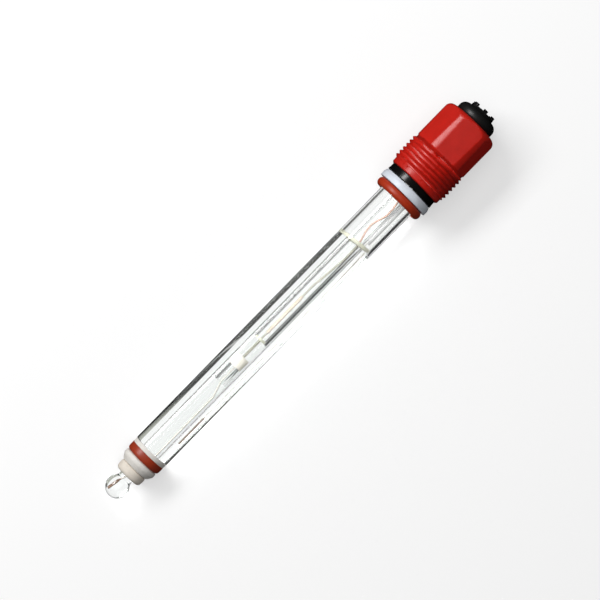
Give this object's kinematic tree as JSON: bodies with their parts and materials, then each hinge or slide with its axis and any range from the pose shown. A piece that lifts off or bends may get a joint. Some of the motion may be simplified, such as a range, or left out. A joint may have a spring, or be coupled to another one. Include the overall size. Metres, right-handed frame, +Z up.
{
  "type": "ph orp electrode",
  "caption": "Combination pH and ORP electrode with a gel-filled glass shaft, a membrane bulb, junction rings and a threaded plug-in head over a sealing ring and thrust collar.",
  "frame": {"origin": "on the table under the middle of the electrode's length, at the bottom centre of its box", "axes": "+Y along the shaft from the bulb to the connector, level on the table, +Z up, +X to the side; the shaft's own axis rises 2 degrees towards the head, because the head is thicker than the tip"},
  "size_m": [0.0194, 0.1582, 0.0196],
  "materials": {
    "red_plastic": "satin moulded red",
    "black_plastic": "satin moulded black",
    "white_plastic": "matt off-white",
    "gilt_contact": "gilt, smooth",
    "black_ring": "glossy black",
    "collar_white": "satin bluish white",
    "orange_rubber": "satin orange-brown",
    "band_rubber": "satin red-brown",
    "clear_glass": "clear, fire-polished",
    "buffer_solution": "clear filling",
    "reference_gel": "clear gel",
    "olive_sealant": "satin olive grey",
    "junction_white": "matt off-white, finely porous",
    "sleeve_cream": "matt cream",
    "plug_beige": "matt fibrous beige",
    "copper_wire": "drawn, dull",
    "tan_insulation": "satin tan",
    "silver_wire": "drawn, with a matt brown chloride coat at its end",
    "grey_insulation": "satin grey",
    "stopper_clear": "translucent silicone",
    "potting_resin": "poured black resin"
  },
  "bodies": {
    "electrode": {"plug_head": "red_plastic", "connector_insert": "black_plastic", "contact_insulator": "white_plastic", "ring_contact": "gilt_contact", "centre_contact": "gilt_contact", "tip_band": "band_rubber", "glass_shaft": "clear_glass", "membrane_stem": "clear_glass", "element_tube": "clear_glass", "buffer_fill": "buffer_solution", "electrolyte_gel": "reference_gel", "gel_seal": "olive_sealant", "stem_seal": "olive_sealant", "upper_junction_ring": "junction_white", "lower_junction_ring": "junction_white", "tip_sleeve": "sleeve_cream", "element_plug": "plug_beige", "inner_lead": "copper_wire", "lead_sleeve": "tan_insulation", "bulb_wire": "silver_wire", "reference_wire": "silver_wire", "reference_lead": "grey_insulation", "shaft_stopper": "stopper_clear", "head_potting": "potting_resin"},
    "seal_set": {"process_o_ring": "orange_rubber", "backing_ring": "black_ring"},
    "collar": {"thrust_collar": "collar_white"}
  },
  "joints": [
    {"name": "seal_slide", "type": "slide", "parent": "electrode", "child": "seal_set", "axis": [0, -0.9995, -0.0323], "range_m": [0, 0.1023]},
    {"name": "collar_turn", "type": "hinge", "parent": "seal_set", "child": "collar", "pos_m": [0, 0.04561, 0.0095], "axis": [0, 0.9995, 0.0323], "continuous": true}
  ]
}
